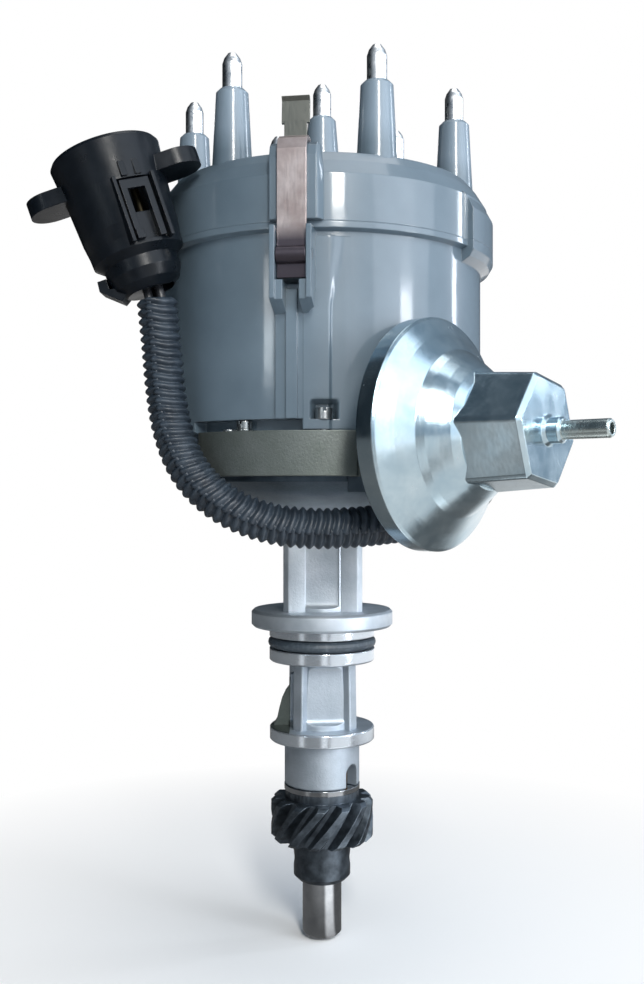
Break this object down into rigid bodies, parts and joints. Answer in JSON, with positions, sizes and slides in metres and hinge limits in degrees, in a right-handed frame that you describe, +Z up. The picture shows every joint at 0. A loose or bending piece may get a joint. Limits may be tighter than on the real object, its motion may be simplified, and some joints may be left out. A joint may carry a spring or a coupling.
{
  "type": "ignition distributor",
  "caption": "Ignition distributor: ribbed shank with helical gear, flange and O-ring, tall clipped cap with plug towers, vacuum canister, and a split-loom lead to a round connector.",
  "frame": {"origin": "centre of the underside of the hold-down flange, on the shaft's axis", "axes": "+Z up along the shaft, away from the engine block; -Y to the front, where a clip and the pad of the bowl are; +X to the right, the canister's side"},
  "size_m": [0.1592, 0.1435, 0.2773],
  "materials": {
    "cast_aluminium": "as cast, with machined lands",
    "bronze": "sintered",
    "black_rubber": "smooth",
    "ground_steel": "ground",
    "black_oxide_steel": "black oxide",
    "spring_steel": "plain",
    "plain_steel": "stamped",
    "zinc_screw": "zinc plated",
    "blue_grey_plastic": "moulded, semi-gloss",
    "bright_terminal": "bright plated",
    "carbon": "matt",
    "clip_steel": "satin",
    "zinc_plated_steel": "zinc plated, satin",
    "nipple_steel": "zinc plated",
    "dark_plastic": "moulded",
    "brass": "plain",
    "wire_cover": "smooth",
    "loom_plastic": "convoluted",
    "connector_plastic": "moulded"
  },
  "bodies": {
    "housing": {"base_housing": "cast_aluminium", "lower_bushing": "bronze", "upper_bushing": "bronze", "flange_o_ring": "black_rubber", "base_plate": "plain_steel", "plate_screws": "zinc_screw", "plate_retaining_ring": "spring_steel", "adapter_ring": "blue_grey_plastic", "adapter_screws": "zinc_screw", "ground_screw": "zinc_screw", "ground_washer": "zinc_screw", "distributor_cap": "blue_grey_plastic", "tower_terminals": "bright_terminal", "centre_terminal": "bright_terminal", "carbon_button": "carbon", "clip_pins": "spring_steel", "vacuum_front_shell": "zinc_plated_steel", "vacuum_nipple": "nipple_steel", "vacuum_back_shell": "zinc_plated_steel", "bracket_screws": "zinc_screw", "vacuum_diaphragm": "black_rubber", "diaphragm_spring": "spring_steel", "lead_grommet": "black_rubber", "pickup_leads": "wire_cover", "lead_loom": "loom_plastic", "connector_leads": "wire_cover", "connector_shell": "connector_plastic", "connector_latch": "connector_plastic", "connector_pins": "brass"},
    "shaft": {"drive_shaft": "ground_steel", "drive_gear": "black_oxide_steel", "gear_roll_pin": "spring_steel", "gear_thrust_washer": "ground_steel", "upper_thrust_washer": "ground_steel", "weight_plate": "plain_steel", "weight_pivot_pins": "ground_steel", "weight_springs": "spring_steel", "sleeve_retainer": "spring_steel"},
    "weight_a": {"advance_weight_a": "plain_steel"},
    "weight_b": {"advance_weight_b": "plain_steel"},
    "rotor_sleeve": {"advance_sleeve": "plain_steel", "reluctor": "plain_steel", "reluctor_roll_pin": "ground_steel", "rotor": "dark_plastic", "rotor_blade": "brass", "rotor_contact_spring": "brass"},
    "pickup": {"pickup_plate": "plain_steel", "pickup_bracket": "plain_steel", "pickup_pole": "plain_steel", "pickup_magnet": "carbon", "pickup_coil": "dark_plastic"},
    "vacuum_link": {"vacuum_rod": "plain_steel"},
    "front_clip": {"front_clip": "clip_steel"},
    "rear_clip": {"rear_clip": "clip_steel"}
  },
  "joints": [
    {"name": "shaft_spin", "type": "hinge", "parent": "housing", "child": "shaft", "pos_m": [0, 0, 0], "axis": [0, 0, 1], "continuous": true},
    {"name": "centrifugal_advance", "type": "hinge", "parent": "shaft", "child": "rotor_sleeve", "pos_m": [0, 0, 0.06], "axis": [0, 0, -1], "range_deg": [0, 12], "stiffness_Nm_per_rad": 0.3, "deforming": ["weight_springs"]},
    {"name": "weight_a_swing", "type": "hinge", "parent": "shaft", "child": "weight_a", "pos_m": [0.012, -0.02079, 0.0507], "axis": [0, 0, -1], "range_deg": [0, 15]},
    {"name": "weight_b_swing", "type": "hinge", "parent": "shaft", "child": "weight_b", "pos_m": [-0.012, 0.02079, 0.0507], "axis": [0, 0, -1], "range_deg": [0, 15]},
    {"name": "vacuum_advance", "type": "hinge", "parent": "housing", "child": "pickup", "pos_m": [0, 0, 0.058], "axis": [0, 0, 1], "range_deg": [0, 10], "stiffness_Nm_per_rad": 0.5, "deforming": ["diaphragm_spring", "vacuum_diaphragm"]},
    {"name": "vacuum_link_slide", "type": "slide", "parent": "housing", "child": "vacuum_link", "axis": [0.7771, -0.6293, 0], "range_m": [0, 0.0032]},
    {"name": "front_clip_swing", "type": "hinge", "parent": "housing", "child": "front_clip", "pos_m": [-0.00836, -0.05659, 0.1085], "axis": [0.9893, -0.1461, 0], "range_deg": [0, 100]},
    {"name": "rear_clip_swing", "type": "hinge", "parent": "housing", "child": "rear_clip", "pos_m": [0.00836, 0.05659, 0.1085], "axis": [-0.9893, 0.1461, 0], "range_deg": [0, 100]}
  ],
  "couplings": [
    {"joint": "weight_a_swing", "follows": "centrifugal_advance", "ratio": 1.25},
    {"joint": "weight_b_swing", "follows": "centrifugal_advance", "ratio": 1.25},
    {"joint": "vacuum_link_slide", "follows": "vacuum_advance", "m_per_rad": 0.0181}
  ]
}
